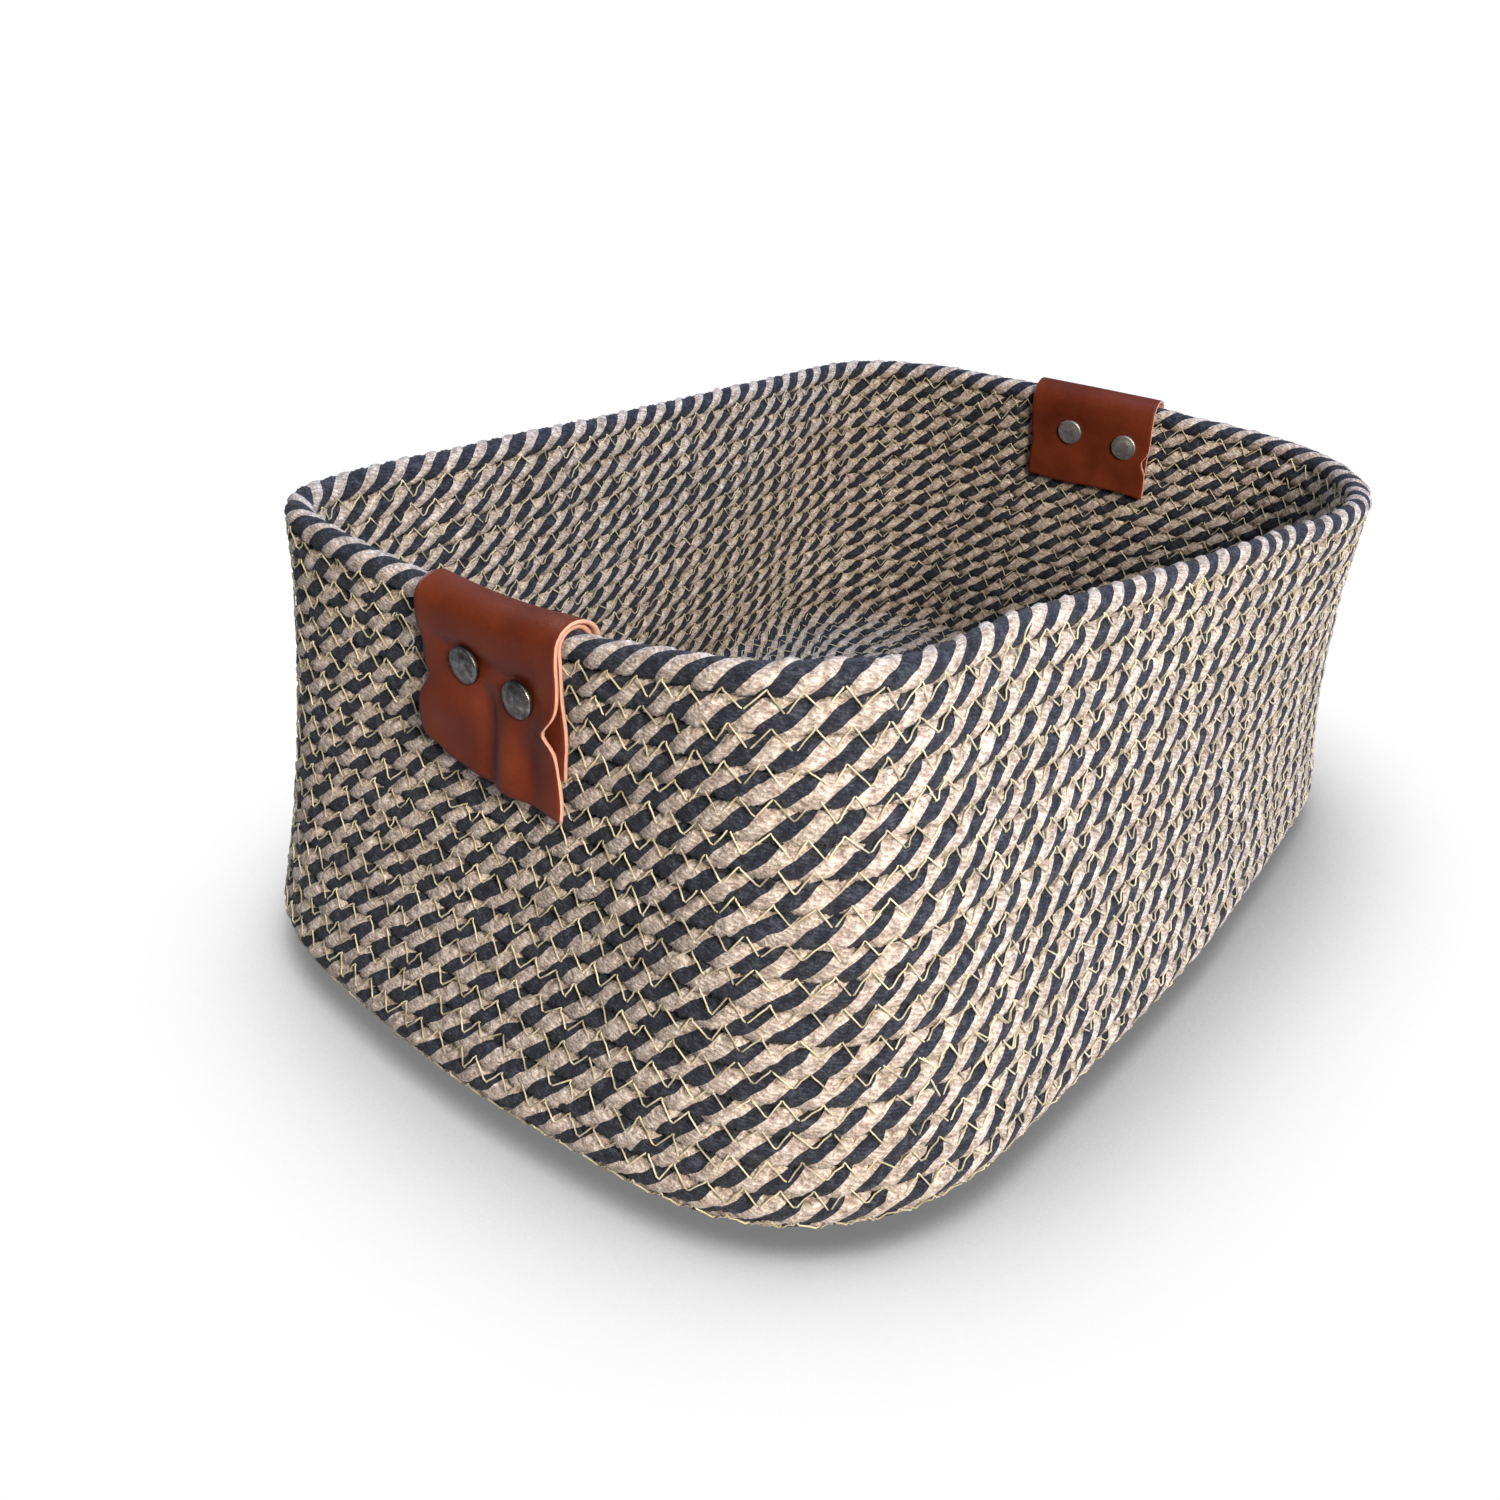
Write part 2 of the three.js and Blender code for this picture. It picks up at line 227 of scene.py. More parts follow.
def strand_material(name, colours, yarns, sheen):
    """Spun fibre: yarns run along the rope on each strand, with loose fibres over them."""
    material, tree, shader = new_material(name)
    place = put(tree, "UVMap", {"uv_map": STRAND_MAP}).outputs[0]
    here = put(tree, "TexCoord").outputs["Object"]
    along = put(tree, "Mapping", Vector=place, Scale=(9, 60, 1)).outputs[0]
    fibre = noise(tree, along, 1.0, 4.0, 0.6)
    patch = noise(tree, here, 28.0, 2.0)
    blotch = noise(tree, here, 400.0, 2.5, 0.6)
    fuzz = noise(tree, here, 1300.0, 3.0, 0.7)
    split = put(tree, "SeparateXYZ", Vector=place)
    lean = maths(tree, "MULTIPLY", split.outputs[0], YARN_LEAN)
    bent = maths(tree, "ADD", split.outputs[1], maths(tree, "MULTIPLY", blotch, 0.12))
    bent = maths(tree, "ADD", bent, lean)
    yarn = maths(tree, "SINE", maths(tree, "MULTIPLY", bent, TURN * yarns))
    yarn = put(tree, "Math", {"operation": "MULTIPLY_ADD"}, _0=yarn, _1=0.5, _2=0.5).outputs[0]
    tone = maths(tree, "ADD", maths(tree, "MULTIPLY", fibre, 0.26), maths(tree, "MULTIPLY", yarn, 0.06))
    tone = maths(tree, "ADD", tone, maths(tree, "MULTIPLY", fuzz, 0.28))
    tone = maths(tree, "ADD", tone, maths(tree, "MULTIPLY", blotch, 0.42))
    dark, middle, light = colours
    base = ramp(tree, tone, [(0.40, dark), (0.51, middle), (0.62, light)])
    shade = ramp(tree, patch, [(0.3, (0.86, 0.86, 0.86)), (0.7, (1.0, 1.0, 1.0))])
    base = colour_mix(tree, 1.0, base, shade, "MULTIPLY")
    tree.links.new(base, shader.inputs["Base Color"])
    shader.inputs["Roughness"].default_value = 0.92
    shader.inputs["Specular IOR Level"].default_value = 0.25
    shader.inputs["Sheen Weight"].default_value = sheen
    shader.inputs["Sheen Roughness"].default_value = 0.5
    height = maths(tree, "ADD", maths(tree, "MULTIPLY", yarn, 0.25), maths(tree, "MULTIPLY", fibre, 0.6))
    height = maths(tree, "ADD", height, maths(tree, "MULTIPLY", fuzz, 0.7))
    height = maths(tree, "ADD", height, maths(tree, "MULTIPLY", blotch, 1.0))
    set_bump(tree, shader, height, 0.9, 0.5 * MM)
    return material


def thread_material():
    material, tree, shader = new_material("sewing_thread")
    here = put(tree, "TexCoord").outputs["Object"]
    patch = noise(tree, here, 120.0, 2.0)
    fuzz = noise(tree, here, 3500.0, 2.0)
    base = ramp(tree, patch, [(0.35, (0.27, 0.22, 0.12)), (0.65, (0.66, 0.57, 0.36))])
    tree.links.new(base, shader.inputs["Base Color"])
    shader.inputs["Roughness"].default_value = 0.55
    shader.inputs["Sheen Weight"].default_value = 0.2
    set_bump(tree, shader, fuzz, 0.6, 0.1 * MM)
    return material


TAN = strand_material(
    "rope_tan",
    [(0.20, 0.148, 0.12), (0.44, 0.355, 0.302), (0.77, 0.67, 0.60)],
    yarns=20,
    sheen=0.12,
)
DARK = strand_material(
    "rope_dark",
    [(0.006, 0.007, 0.012), (0.018, 0.020, 0.031), (0.060, 0.064, 0.085)],
    yarns=20,
    sheen=0.05,
)
THREAD = thread_material()

# ---- The body's centre surface, measured on the CAD nodes ----

SAMPLES = 720
AZIMUTHS = np.arange(SAMPLES) * TURN / SAMPLES
LEVELS = np.array([0.0, 0.3, 0.5, 0.7, 1.0])  # shares of the wall's height


def tree_of(node):
    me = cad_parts[node].data
    verts = [v.co.copy() for v in me.vertices]
    return BVHTree.FromPolygons(verts, [p.vertices[:] for p in me.polygons])


def smoothed(values):
    """Rounds off the CAD model's flat facets, in a ring of values."""
    offsets = np.arange(-8, 9)
    weights = np.exp(-((offsets / 3.5) ** 2) / 2)
    weights /= weights.sum()
    return sum(w * np.roll(values, -o) for w, o in zip(weights, offsets))


def wall_radius(tree, azimuth, z):
    """Distance from the middle to the wall's centre at a height."""
    heading = Vector((math.cos(azimuth), math.sin(azimuth), 0))
    for shift in (0, 0.3, -0.3, 0.7, -0.7):  # a ray can slip between two faces
        start = Vector((0, 0, z + shift * MM))
        inner = tree.ray_cast(start, heading)[0]
        outer = tree.ray_cast(start + heading, -heading)[0]
        if inner and outer and outer.xy.length > inner.xy.length:
            return (inner.xy.length + outer.xy.length) / 2
    raise ValueError(f"no wall at azimuth {azimuth}, height {z}")


def rim_centre(tree, azimuth, guess):
    """Radius and height of the rim course's centre, from rays dropped on it."""
    heading = Vector((math.cos(azimuth), math.sin(azimuth), 0))
    best = (0.0, -1.0)
    for radius in guess + np.arange(-12, 12, 0.5) * MM:
        hit = tree.ray_cast(heading * radius + Vector((0, 0, 1)), Vector((0, 0, -1)))[0]
        if hit and hit.z > best[1] + 1e-6:
            best = (radius, hit.z)
    return best[0], best[1] - ROPE_R


def measure_body():
    wall = tree_of("wall_coil")
    rim = tree_of("rim_coil")
    below_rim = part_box("rim_coil")[0].z - 2 * PITCH
    guess = [wall_radius(wall, a, below_rim) for a in AZIMUTHS]
    found = [rim_centre(rim, a, g) for a, g in zip(AZIMUTHS, guess)]
    rim_radius = smoothed(np.array([f[0] for f in found]))
    rim_height = smoothed(np.array([f[1] for f in found]))
    radii = []
    for level in LEVELS[:-1]:
        heights = EDGE_TOP_Z + level * (rim_height - EDGE_TOP_Z)
        ring = [wall_radius(wall, a, z) for a, z in zip(AZIMUTHS, heights)]
        radii.append(smoothed(np.array(ring)))
    return np.array([*radii, rim_radius]), rim_height


RADII, RIM_HEIGHT = measure_body()


def ring_value(values, azimuth):
    return np.interp(azimuth % TURN, AZIMUTHS, values, period=TURN)


def wall_point(azimuth, along):
    """Points of the wall's centre above the turn at the foot; both may be arrays."""
    v = (np.asarray(along, float) - EDGE_LENGTH) / WALL_HEIGHT
    radius = 0.0
    for i, level in enumerate(LEVELS):
        others = np.delete(LEVELS, i)
        share = np.prod((v[..., None] - others) / (level - others), axis=-1)
        radius = radius + share * ring_value(RADII[i], azimuth)
    z = EDGE_TOP_Z + v * (ring_value(RIM_HEIGHT, azimuth) - EDGE_TOP_Z)
    return np.stack([radius * np.cos(azimuth), radius * np.sin(azimuth), z], -1)


def body_point(azimuth, along):
    """Point of the rope wall's centre, `along` metres up its profile from the base coil."""
    azimuth = np.asarray(azimuth, float)
    round_ = np.stack([np.cos(azimuth), np.sin(azimuth)], -1)
    if along < EDGE_LENGTH:
        foot = ring_value(RADII[0], azimuth)[..., None] * round_
        step = 0.004
        ahead, behind = azimuth + step, azimuth - step
        a = ring_value(RADII[0], ahead)[..., None] * np.stack([np.cos(ahead), np.sin(ahead)], -1)
        b = ring_value(RADII[0], behind)[..., None] * np.stack([np.cos(behind), np.sin(behind)], -1)
        tangent = unit(a - b)
        normal = np.stack([tangent[..., 1], -tangent[..., 0]], -1)
        angle = along / EDGE_R
        point = foot - normal * EDGE_R * (1 - math.sin(max(angle, 0.0)))
        point += normal * min(along, 0.0)
        z = EDGE_TOP_Z - EDGE_R * math.cos(max(angle, 0.0))
        return np.concatenate([point, np.full(azimuth.shape + (1,), z)], -1)
    return wall_point(azimuth, along)


def base_point(azimuth, course):
    """Point of the base coil's centre, counted in courses inwards from its outermost one."""
    outer = body_point(azimuth, 0.0)
    core = np.zeros_like(outer)
    core[..., 0] = np.clip(outer[..., 0], -BASE_CORE, BASE_CORE)
    core[..., 2] = outer[..., 2]
    return mix(outer, core, course / (BASE_COURSES - 0.5))


def frames_on(point, level, step):
    """Points and directions round a closed course: round it, up the profile and outwards."""
    here = point(AZIMUTHS, level)
    up = (point(AZIMUTHS, level + step) - point(AZIMUTHS, level - step)) / (2 * step)
    stretch = np.linalg.norm(up, axis=-1, keepdims=True)
    tangent = unit(np.roll(here, -1, 0) - np.roll(here, 1, 0))
    up = unit(up)
    out = unit(np.cross(tangent, up))
    return here, up, out, stretch


def wall_frames(along):
    return frames_on(body_point, along, 0.5 * MM)


def base_frames(course):
    here, up, out, stretch = frames_on(base_point, course, 0.1)
    return here, -up, -out, stretch / PITCH


def evenly(course_frames, count):
    """A course's frames at evenly spaced places, and its length."""
    here = course_frames[0]
    closed = np.concatenate([here, here[:1]])
    lengths = np.concatenate([[0], np.cumsum(np.linalg.norm(np.diff(closed, axis=0), axis=-1))])
    total = lengths[-1]
    if count is None:
        count = round(total / STRIPE) * STEPS_PER_STRIPE
    s = np.arange(count) * total / count

    def at(values, where):
        ring = np.concatenate([values, values[:1]])
        return np.stack([np.interp(where % total, lengths, ring[:, i]) for i in range(ring.shape[1])], -1)

    return s, total, lambda where: [at(v, where) for v in course_frames]


# ---- Rope ----

COLUMNS = [(a + turn, r) for turn in (0, 180) for a, r in DARK_COLUMNS + TAN_COLUMNS]
COLUMN_ANGLES = np.radians([a for a, _ in COLUMNS])
COLUMN_RELIEF = np.array([r for _, r in COLUMNS])
COLUMN_SLOTS = ([0] * len(DARK_COLUMNS) + [1] * len(TAN_COLUMNS)) * 2

STRAND_EDGES = np.cumsum([0, len(DARK_COLUMNS), len(TAN_COLUMNS), len(DARK_COLUMNS)])


def soften(values):
    return (np.roll(values, 1, 0) + 2 * values + np.roll(values, -1, 0)) / 4


def rope_course(course_frames, phase, squareness=SQUARENESS, overlap=OVERLAP, spread=FACE_SPREAD):
    """One closed turn of twisted rope: its vertices, and its strand coordinates."""
    s, total, at = evenly(course_frames, None)
    here, up, out, stretch = at(s)
    up, out = unit(up), unit(out)
    stripes = len(s) // STEPS_PER_STRIPE
    turns = s / total * stripes / 2
    loose = wander(total, 30 * MM, 0.05)(s)
    here = here + out * wander(total, 22 * MM, WOBBLE)(s)[:, None]
    here = here + up * wander(total, 26 * MM, WOBBLE * 0.6)(s)[:, None]
    edges = np.zeros((len(s), len(COLUMNS)))
    edges[:, STRAND_EDGES] = soften(rng.normal(0, RAGGED, (len(s), 4)))
    swell = wander(total, 11 * MM, 0.08)(s)
    edges[:, STRAND_EDGES] += swell[:, None] * np.array([-1, 1, -1, 1])
    lumps = 1 + soften(rng.normal(0, LUMPY, edges.shape))
    angle = COLUMN_ANGLES[None] + edges + (TURN * (turns + phase + loose))[:, None]
    pinch = PINCH * np.sin(angle[:, STRAND_EDGES]) ** 4 * (spread > 0)
    angle[:, STRAND_EDGES] += pinch * np.array([1, -1, 1, -1])
    angle = angle - spread / 2 * np.sin(2 * angle)
    c, d = np.cos(angle), np.sin(angle)
    rounded = (np.abs(c) ** squareness + np.abs(d) ** squareness) ** (-1 / squareness)
    plump = 1 + wander(total, 7 * MM, 0.025)(s)[:, None]
    reach = rounded * COLUMN_RELIEF[None] * plump * lumps
    height = PITCH / 2 * np.maximum(stretch, 0.6) * overlap
    verts = here[:, None] + out[:, None] * (ROPE_R * c * reach)[..., None]
    verts = verts + up[:, None] * (height * d * reach)[..., None]
    verts[..., 2] = np.maximum(verts[..., 2], ROPE_OFF_FLOOR)
    return verts, turns + phase


def rope_piece(name, courses):
    """A mesh of closed rope courses, with strand coordinates and a map of tidy rows to bake on."""
    across = len(COLUMNS)
    corner = np.append(COLUMN_ANGLES, TURN) / TURN
    verts, quads, slots, strand = [], [], [], []
    start = 0
    steps_done = 0
    steps = []
    for rows, turns in courses:
        count = len(rows)
        i = np.arange(count)[:, None]
        j = np.arange(across)[None, :]
        ahead, beside = (i + 1) % count, (j + 1) % across
        # The strands turn 360 degrees in whole stripes, so a ring of an odd number of
        # stripes closes half a turn on, where dark meets dark again.
        swap = np.where((i + 1 == count) & (round(count / STEPS_PER_STRIPE) % 2 == 1), across // 2, 0)
        a = i * across + j
        b = ahead * across + (j + swap) % across
        c = ahead * across + (beside + swap) % across
        d = i * across + beside
        quads.append(start + np.stack([a, d, c, b], -1).reshape(-1, 4))
        verts.append(rows.reshape(-1, 3))
        slots.append(np.tile(COLUMN_SLOTS, count))
        step = 1 / (2 * STEPS_PER_STRIPE)
        u0, u1 = turns[:, None] + 0 * corner[None, :-1], turns[:, None] + step + 0 * corner[None, :-1]
        b0, b1 = corner[None, :-1] + 0 * u0, corner[None, 1:] + 0 * u0
        strand.append(
            np.stack([np.stack([u, u + b], -1) for u, b in ((u0, b0), (u0, b1), (u1, b1), (u1, b0))], 2)
        )
        steps.append(steps_done + np.arange(count))
        steps_done += count
        start += rows.shape[0] * across
    girth = TURN * ROPE_R
    length = steps_done * STRIPE / STEPS_PER_STRIPE
    rows_wanted = max(1, round(math.sqrt(length / girth)))
    per_row = math.ceil(steps_done / rows_wanted)
    step = np.concatenate(steps)[:, None]
    row, col = step // per_row, step % per_row
    u0, u1 = (col + 0.02) / per_row + 0 * corner[None, :-1], (col + 0.98) / per_row + 0 * corner[None, :-1]
    v0 = (row + 0.02 + 0.96 * corner[None, :-1]) / rows_wanted
    v1 = (row + 0.02 + 0.96 * corner[None, 1:]) / rows_wanted
    bake = np.stack([np.stack(p, -1) for p in ((u0, v0), (u0, v1), (u1, v1), (u1, v0))], 2)
    return mesh_object(
        name,
        np.concatenate(verts),
        np.concatenate(quads),
        [DARK, TAN],
        np.concatenate(slots),
        {STRAND_MAP: np.concatenate(strand).reshape(-1, 2), BAKE_MAP: bake.reshape(-1, 2)},
    )


# ---- Sewing thread ----

STROKE = np.array([0.0, 0.14, 0.5, 0.86, 1.0])  # places along one stroke
THREAD_SIDES = 5


def tube_rings(points, normals, radius):
    """Rings of vertices round many short paths at once; points are path by place."""
    along = np.gradient(points, axis=1)
    along = unit(along)
    side = unit(np.cross(along, normals))
    lift = np.cross(side, along)
    angles = np.arange(THREAD_SIDES) * TURN / THREAD_SIDES
    ring = side[..., None, :] * np.cos(angles)[:, None] + lift[..., None, :] * np.sin(angles)[:, None]
    return points[..., None, :] + ring * radius


def tube_quads(paths, places, sides):
    base = np.arange(paths)[:, None, None] * places * sides
    i = np.arange(places - 1)[None, :, None] * sides
    j = np.arange(sides)[None, None, :]
    k = (j + 1) % sides
    quads = np.stack([base + i + j, base + i + k, base + i + sides + k, base + i + sides + j], -1)
    return quads.reshape(-1, 4)


def sewing_row(course_frames, face, between=None):
    """A zigzag over the joint between two courses, on the outside (1) or the inside (-1),
    all the way round or between two azimuths."""
    _, total, at = evenly(course_frames, 8)
    peaks = round(total / ZIGZAG)
    nodes = (np.arange(2 * peaks) + rng.normal(0, 0.15, 2 * peaks)) * total / (2 * peaks)
    ends = np.where(np.arange(2 * peaks) % 2 == 0, 1.0, -1.0) * ZIGZAG_HALF
    ends = ends * (1 + rng.normal(0, 0.17, 2 * peaks))
    after = np.append(nodes[1:], nodes[0] + total)
    s = mix(nodes[:, None], after[:, None], STROKE[None])
    h = mix(ends[:, None], np.roll(ends, -1)[:, None], STROKE[None])
    falling = (ends > 0) == (face > 0)
    sunk = np.where(falling, 0.1 * MM, 0.55 * MM)[:, None]
    sunk = sunk + np.abs(rng.normal(0, 0.12 * MM, (2 * peaks, 1)))
    dip = np.array([0.75, 0.0, 1.0, 0.0, 0.75]) * MM
    lift = ROPE_R - 0.02 * MM - np.where(np.array([0, 0, 1, 0, 0]) == 1, sunk, dip[None])
    flat = s.reshape(-1)
    here, up, out, stretch = at(flat)
    up, out = unit(up), unit(out)
    offset = (h.reshape(-1, 1)) * stretch
    points = here + up * offset + out * face * lift.reshape(-1, 1)
    points = points.reshape(*s.shape, 3)
    normals = (out * face).reshape(*s.shape, 3)
    if between:
        azimuth = np.arctan2(points[:, 0, 1], points[:, 0, 0]) % TURN
        kept = (azimuth > between[0]) & (azimuth < between[1])
        points, normals = points[kept], normals[kept]
    return tube_rings(points, normals, THREAD_R)


def loose_thread(spots):
    """A thread through spots on the wall, each an azimuth, a height and a lift off the rope."""
    spots = np.array(spots)
    t = np.linspace(0, len(spots) - 1, 8 * len(spots))
    knots = np.arange(len(spots))
    here = np.array([wall_point(a, EDGE_LENGTH + h) for a, h, _ in spots])
    out = np.array([wall_frame(np.array(a), EDGE_LENGTH + h)[2] for a, h, _ in spots])
    path = here + out * (ROPE_R + spots[:, 2:])
    smooth = np.stack([np.interp(t, knots, path[:, i]) for i in range(3)], -1)
    for _ in range(6):
        smooth[1:-1] = (smooth[:-2] + 2 * smooth[1:-1] + smooth[2:]) / 4
    normals = np.stack([np.interp(t, knots, out[:, i]) for i in range(3)], -1)
    return tube_rings(smooth[None], normals[None], THREAD_R)


def sewing_piece(name, rows):
    verts, quads = [], []
    start = 0
    for rings in rows:
        paths, places, sides = rings.shape[:3]
        quads.append(start + tube_quads(paths, places, sides))
        verts.append(rings.reshape(-1, 3))
        start += paths * places * sides
    count = sum(len(q) for q in quads)
    side = math.ceil(math.sqrt(count))
    cell = np.arange(count)
    u, v = (cell % side) / side, (cell // side) / side
    w = 0.9 / side
    maps = np.stack([u, v, u + w, v, u + w, v + w, u, v + w], -1).reshape(-1, 2)
    verts = np.concatenate(verts)
    verts[:, 2] = np.maximum(verts[:, 2], THREAD_OFF_FLOOR)
    return mesh_object(name, verts, np.concatenate(quads), [THREAD], None, {BAKE_MAP: maps})


def ride(piece, *nodes, slot):
    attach(piece, "root")
    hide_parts(*nodes)
    return piece


def build_rope():
    phases = np.cumsum(rng.normal(0.0, 0.03, WALL_COURSES + 2))
    rim = rope_course(wall_frames(RIM_AT), phases[-1], RIM_SQUARENESS, 2 * ROPE_R / PITCH, 0.0)
    ride(rope_piece("rim_rope", [rim]), "rim_coil", slot="rope")
    thirds = np.array_split(np.arange(1, WALL_COURSES + 1), 3)
    for name, numbers in zip(("low", "middle", "high"), thirds):
        courses = [rope_course(wall_frames(PITCH * k), phases[k]) for k in numbers]
        ride(rope_piece(f"wall_rope_{name}", courses), "wall_coil", slot="rope")
    for name, numbers in (("outer", range(OUTER_COURSES)), ("inner", range(OUTER_COURSES, BASE_COURSES))):
        courses = [rope_course(base_frames(k), phases[0]) for k in numbers]
        ride(rope_piece(f"base_rope_{name}", courses), "base_coil", slot="rope")


def build_sewing():
    joints = PITCH * (np.arange(WALL_COURSES + 1) + 0.5)
    for face, side in ((1, "outside"), (-1, "inside")):
        rows = [sewing_row(wall_frames(along), face) for along in joints]
        rows += [sewing_row(wall_frames(joints[k]), face, ends) for k, ends in SEWN_TWICE[side]]
        if side == "outside":
            rows += [loose_thread(spots) for spots in LOOSE_THREADS]
        ride(sewing_piece(f"wall_sewing_{side}", rows), "wall_coil", slot="rope")
        rows = [sewing_row(base_frames(k + 0.5), face) for k in range(BASE_COURSES - 1)]
        ride(sewing_piece(f"base_sewing_{side}", rows), "base_coil", slot="rope")


# ---- Leather grips ----

LEATHER_T = 1.3 * MM
EDGE_BULGE = 0.25 * MM  # by which the raw edge's middle stands out
GRIP_WIDTH = 60 * MM
LINING_WIDTH = 58 * MM
LINING_LIFT = 5.1 * MM  # off the wall's centre, to the lining's inner face
STRAP_LIFT = 6.7 * MM
STRAP_DOWN = (49 * MM, 39 * MM)  # below the rim's centre, outside and inside
LINING_DOWN = (38 * MM, 28 * MM)
ACROSS = 40
DOWN_STEPS = 30
FOLD_STEPS = 12


def wall_frame(azimuth, along):
    """Centre, up and out of the wall at arrays of places."""
    here = wall_point(azimuth, along)
    up = unit(wall_point(azimuth, along + 0.5 * MM) - wall_point(azimuth, along - 0.5 * MM))
    tangent = unit(wall_point(azimuth + 0.003, along) - wall_point(azimuth - 0.003, along))
    return here, up, unit(np.cross(tangent, up))


def rim_fan(middle):
    """Azimuths about a middle one, and their distances round the rim from it."""
    fan = middle + np.linspace(-0.4, 0.4, 801)
    here = wall_point(fan, RIM_AT)
    length = np.concatenate([[0], np.cumsum(np.linalg.norm(np.diff(here, axis=0), axis=-1))])
    return fan, length - np.interp(middle, fan, length)


def cad_verts(node):
    return np.array([v.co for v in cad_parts[node].data.vertices])


def grip_middle(grip):
    low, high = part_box(grip + "_strap")
    return math.atan2((low.y + high.y) / 2, (low.x + high.x) / 2)


def rivet_ends(grip, number):
    """The tops of a rivet's two caps in the CAD frame, and the axis outwards."""
    names = [f"{grip}_rivet_{number}_{half}" for half in ("post", "socket")]
    halves = [np.unique(cad_verts(name).round(5), axis=0) for name in names]
    axis = unit(np.mean(halves[0], 0) - np.mean(halves[1], 0))
    for _ in range(3):
        tops = []
        for half, way in zip(halves, (axis, -axis)):
            reach = half @ way
            tops.append(half[reach > reach.max() - 0.3 * MM].mean(0))
        axis = unit(tops[0] - tops[1])
    return tops[0], tops[1], axis


def rivet_spots(grip):
    """Each rivet's distance round the rim from the grip's middle and down from the rim."""
    fan, length = rim_fan(grip_middle(grip))
    spots = []
    for number in (1, 2):
        outer, inner, _ = rivet_ends(grip, number)
        centre = (outer + inner) / 2
        azimuth = math.atan2(centre[1], centre[0]) % TURN
        azimuth -= TURN if azimuth > fan[-1] else 0
        rise = (centre[2] - EDGE_TOP_Z) / (ring_value(RIM_HEIGHT, azimuth) - EDGE_TOP_Z)
        along = EDGE_LENGTH + rise * WALL_HEIGHT
        spots.append((np.interp(azimuth, fan, length) / MM, (RIM_AT - along) / MM))
    return spots


def leather_layer(name, grip, width, lift, down, shape, edge, cut, materials):
    """A leather layer folded over the rim. `shape` gives each point's lift, `edge` its shift
    along the rim and `cut` how much longer each flap is at its lower edge, all in millimetres."""
    outer = [(1 - i / DOWN_STEPS, 0.0) for i in range(DOWN_STEPS)]
    fold = [(0.0, math.pi * i / FOLD_STEPS) for i in range(FOLD_STEPS + 1)]
    inner = [((i + 1) / DOWN_STEPS, math.pi) for i in range(DOWN_STEPS)]
    share, angle = np.array(outer + fold + inner).T[:, :, None]
    w = np.linspace(-0.5, 0.5, ACROSS + 1)[None] * width
    outside = angle < math.pi / 2
    d = share * (np.where(outside, down[0], down[1]) + cut(w / MM, outside) * MM)
    fan, length = rim_fan(grip_middle(grip))
    azimuth = np.interp(w + edge(w / MM, d / MM, outside) * MM, length, fan)
    here, up, out = wall_frame(azimuth, RIM_AT - d)
    away = out * np.cos(angle)[..., None] + up * np.sin(angle)[..., None]
    pulled = shape(w / MM, d / MM, outside) - dimples(rivet_spots(grip), w / MM, d / MM)
    face = lift + pulled * MM * np.cos(angle) ** 2
    sheets = [here + away * (face + layer * LEATHER_T)[..., None] for layer in (0.0, 0.5, 1.0)]
    return leather_mesh(name, sheets, materials)


def leather_mesh(name, sheets, materials):
    """Closes the inner, middle and outer sheets of a leather layer into one piece."""
    rows, columns = sheets[0].shape[:2]
    index = np.arange(rows * columns).reshape(rows, columns)
    inside, centre, outside = index, index + index.size, index + 2 * index.size
    quads, slots = [], []

    def grid(block, flip, slot):
        a, b, c, d = block[:-1, :-1], block[:-1, 1:], block[1:, 1:], block[1:, :-1]
        face = np.stack([a, b, c, d] if not flip else [a, d, c, b], -1).reshape(-1, 4)
        quads.append(face)
        slots.append(np.full(len(face), slot))

    def band(loop_a, loop_b):
        nxt_a, nxt_b = np.roll(loop_a, -1), np.roll(loop_b, -1)
        face = np.stack([loop_a, nxt_a, nxt_b, loop_b], -1)
        quads.append(face)
        slots.append(np.full(len(face), 2))

    def border(i):
        return np.concatenate([i[0, :-1], i[:-1, -1], i[-1, :0:-1], i[:0:-1, 0]])

    grid(outside, False, 0)
    grid(inside, True, 1)
    band(border(inside), border(centre))
    band(border(centre), border(outside))
    # The middle sheet only shows at the raw edge, which is slightly rounded.
    middle = sheets[1].copy()
    every = slice(None)
    for edge, beside in (((0, every), (1, every)), ((-1, every), (-2, every))):
        middle[edge] += unit(middle[edge] - middle[beside]) * EDGE_BULGE
    for edge, beside in (((every, 0), (every, 1)), ((every, -1), (every, -2))):
        middle[edge] += unit(middle[edge] - middle[beside]) * EDGE_BULGE
    verts = np.concatenate([s.reshape(-1, 3) for s in (sheets[0], middle, sheets[2])])
    me_quads = np.concatenate(quads)
    used = np.unique(me_quads)
    renumber = np.full(len(verts), -1)
    renumber[used] = np.arange(len(used))
    return mesh_object(name, verts[used], renumber[me_quads], materials, np.concatenate(slots))


def dimples(spots, x, y):
    """How far the rivets pull a flap in."""
    return sum(bump(x, round_, 6.5) * bump(y, down, 6.5) for round_, down in spots)


